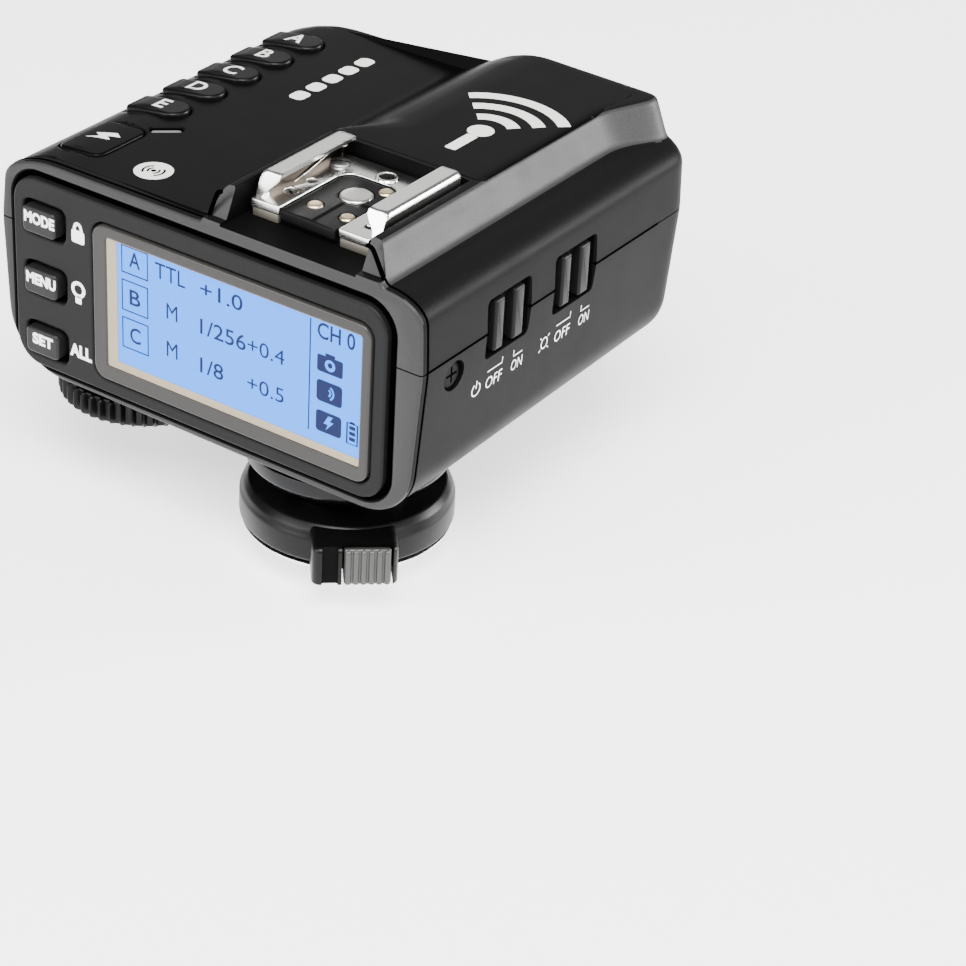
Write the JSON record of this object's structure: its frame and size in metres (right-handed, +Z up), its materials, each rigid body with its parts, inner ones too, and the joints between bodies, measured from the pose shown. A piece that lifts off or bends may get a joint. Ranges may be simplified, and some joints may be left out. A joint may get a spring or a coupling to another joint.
{
  "type": "wireless flash trigger",
  "caption": "Hot-shoe radio trigger for flashes: flat box with a raised pass-through shoe, rear display and keys, side slide switches, underside dial and a quick-lock foot.",
  "frame": {"origin": "axis of the accessory foot, at the underside of the foot's metal plate", "axes": "+Z up, out of the pass-through shoe; +Y towards the subject, out of the front wall; +X to the right of somebody who looks at the rear display, which faces -Y"},
  "size_m": [0.0721, 0.0705, 0.0574],
  "materials": {
    "casing": "fine grained moulding",
    "panel": "fine grained moulding, slightly lighter",
    "gloss": "polished black",
    "keys": "satin",
    "slider": "satin grey",
    "dial": "knurled, satin",
    "bright_steel": "bright stamped sheet",
    "spring_steel": "plated wire and leaf",
    "screw_steel": "plated",
    "contact": "plated contact",
    "gold_contact": "gold plated",
    "insulator": "moulded",
    "window": "clear hard-coated",
    "screen": "lit liquid-crystal display",
    "red_window": "dark red, glossy",
    "lamp": "translucent",
    "foot_plastic": "moulded, satin",
    "release": "ribbed grey",
    "board": "solder resist",
    "cell": "shrink sleeve"
  },
  "bodies": {
    "casing": {"top_shell": "casing", "bottom_shell": "casing", "top_inlay": "gloss", "rear_panel": "panel", "display_window": "window", "display_module": "screen", "assist_window": "red_window", "status_lamp": "lamp", "power_switch_body": "keys", "assist_switch_body": "keys", "dial_encoder": "screw_steel", "case_screw": "screw_steel", "shoe_plate": "bright_steel", "shoe_insulator": "insulator", "shoe_contact_main": "contact", "shoe_contact_1": "gold_contact", "shoe_contact_2": "gold_contact", "shoe_contact_3": "gold_contact", "shoe_spring_left": "spring_steel", "shoe_spring_right": "spring_steel", "shoe_screw_1": "screw_steel", "shoe_screw_2": "screw_steel", "shoe_screw_3": "screw_steel", "shoe_screw_4": "screw_steel", "foot_base": "foot_plastic", "foot_plate": "bright_steel", "foot_insulator": "insulator", "cell_1": "cell", "cell_2": "cell", "cell_spring_1": "spring_steel", "cell_spring_2": "spring_steel", "cell_bridge": "spring_steel", "door_pin": "screw_steel", "main_board": "board", "key_board": "board", "radio_module": "board", "usb_socket": "screw_steel", "sync_socket": "insulator", "assist_lamp": "lamp"},
    "key_a": {"group_key_a": "keys"},
    "key_b": {"group_key_b": "keys"},
    "key_c": {"group_key_c": "keys"},
    "key_d": {"group_key_d": "keys"},
    "key_e": {"group_key_e": "keys"},
    "key_test": {"test_key": "gloss"},
    "key_mode": {"mode_key": "keys"},
    "key_menu": {"menu_key": "keys"},
    "key_set": {"set_key": "keys"},
    "power_slider": {"power_switch_knob": "slider"},
    "assist_slider": {"assist_switch_knob": "slider"},
    "dial": {"select_dial": "dial"},
    "washer": {"clamp_washer": "spring_steel"},
    "ring": {"lock_ring": "foot_plastic"},
    "release": {"release_button": "release"},
    "pin": {"lock_pin": "screw_steel"},
    "contact_main": {"foot_contact_main": "gold_contact"},
    "contact_1": {"foot_contact_1": "gold_contact"},
    "contact_2": {"foot_contact_2": "gold_contact"},
    "contact_3": {"foot_contact_3": "gold_contact"},
    "door": {"battery_door": "casing"}
  },
  "joints": [
    {"name": "press_a", "type": "slide", "parent": "casing", "child": "key_a", "axis": [0, 0, -1], "range_m": [0, 0.0005], "stiffness_N_per_m": 300, "springref_m": -0.0002},
    {"name": "press_b", "type": "slide", "parent": "casing", "child": "key_b", "axis": [0, 0, -1], "range_m": [0, 0.0005], "stiffness_N_per_m": 300, "springref_m": -0.0002},
    {"name": "press_c", "type": "slide", "parent": "casing", "child": "key_c", "axis": [0, 0, -1], "range_m": [0, 0.0005], "stiffness_N_per_m": 300, "springref_m": -0.0002},
    {"name": "press_d", "type": "slide", "parent": "casing", "child": "key_d", "axis": [0, 0, -1], "range_m": [0, 0.0005], "stiffness_N_per_m": 300, "springref_m": -0.0002},
    {"name": "press_e", "type": "slide", "parent": "casing", "child": "key_e", "axis": [0, 0, -1], "range_m": [0, 0.0005], "stiffness_N_per_m": 300, "springref_m": -0.0002},
    {"name": "press_test", "type": "slide", "parent": "casing", "child": "key_test", "axis": [0, 0, -1], "range_m": [0, 0.0005], "stiffness_N_per_m": 300, "springref_m": -0.0002},
    {"name": "press_mode", "type": "slide", "parent": "casing", "child": "key_mode", "axis": [0, 1, 0], "range_m": [0, 0.0005], "stiffness_N_per_m": 300, "springref_m": -0.0002},
    {"name": "press_menu", "type": "slide", "parent": "casing", "child": "key_menu", "axis": [0, 1, 0], "range_m": [0, 0.0005], "stiffness_N_per_m": 300, "springref_m": -0.0002},
    {"name": "press_set", "type": "slide", "parent": "casing", "child": "key_set", "axis": [0, 1, 0], "range_m": [0, 0.0005], "stiffness_N_per_m": 300, "springref_m": -0.0002},
    {"name": "slide_power", "type": "slide", "parent": "casing", "child": "power_slider", "axis": [0, 1, 0], "range_m": [-0.0014, 0.0014]},
    {"name": "slide_assist", "type": "slide", "parent": "casing", "child": "assist_slider", "axis": [0, 1, 0], "range_m": [-0.0014, 0.0014]},
    {"name": "turn_dial", "type": "hinge", "parent": "casing", "child": "dial", "pos_m": [-0.0345, -0.0023, 0.014], "axis": [0, 0, 1], "continuous": true},
    {"name": "clamp_travel", "type": "slide", "parent": "casing", "child": "washer", "axis": [0, 0, 1], "range_m": [0, 0.0015]},
    {"name": "lock_turn", "type": "hinge", "parent": "washer", "child": "ring", "pos_m": [0, 0, 0.0065], "axis": [0, 0, 1], "range_deg": [-65, 0]},
    {"name": "release_press", "type": "slide", "parent": "ring", "child": "release", "axis": [-0.6428, 0.766, 0], "range_m": [0, 0.0012], "stiffness_N_per_m": 200, "springref_m": -0.0003},
    {"name": "pin_travel", "type": "slide", "parent": "casing", "child": "pin", "axis": [0, 0, 1], "range_m": [0, 0.0016]},
    {"name": "spring_main", "type": "slide", "parent": "casing", "child": "contact_main", "axis": [0, 0, 1], "range_m": [0, 0.0005], "stiffness_N_per_m": 300, "springref_m": -0.0003},
    {"name": "spring_1", "type": "slide", "parent": "casing", "child": "contact_1", "axis": [0, 0, 1], "range_m": [0, 0.0005], "stiffness_N_per_m": 200, "springref_m": -0.0003},
    {"name": "spring_2", "type": "slide", "parent": "casing", "child": "contact_2", "axis": [0, 0, 1], "range_m": [0, 0.0005], "stiffness_N_per_m": 200, "springref_m": -0.0003},
    {"name": "spring_3", "type": "slide", "parent": "casing", "child": "contact_3", "axis": [0, 0, 1], "range_m": [0, 0.0005], "stiffness_N_per_m": 200, "springref_m": -0.0003},
    {"name": "door_swing", "type": "hinge", "parent": "casing", "child": "door", "pos_m": [-0.0129, 0.0476, 0.0186], "axis": [1, 0, 0], "range_deg": [0, 95]}
  ],
  "couplings": [
    {"joint": "clamp_travel", "follows": "lock_turn", "m_per_rad": -0.00132},
    {"joint": "pin_travel", "follows": "lock_turn", "m_per_rad": -0.0014}
  ]
}
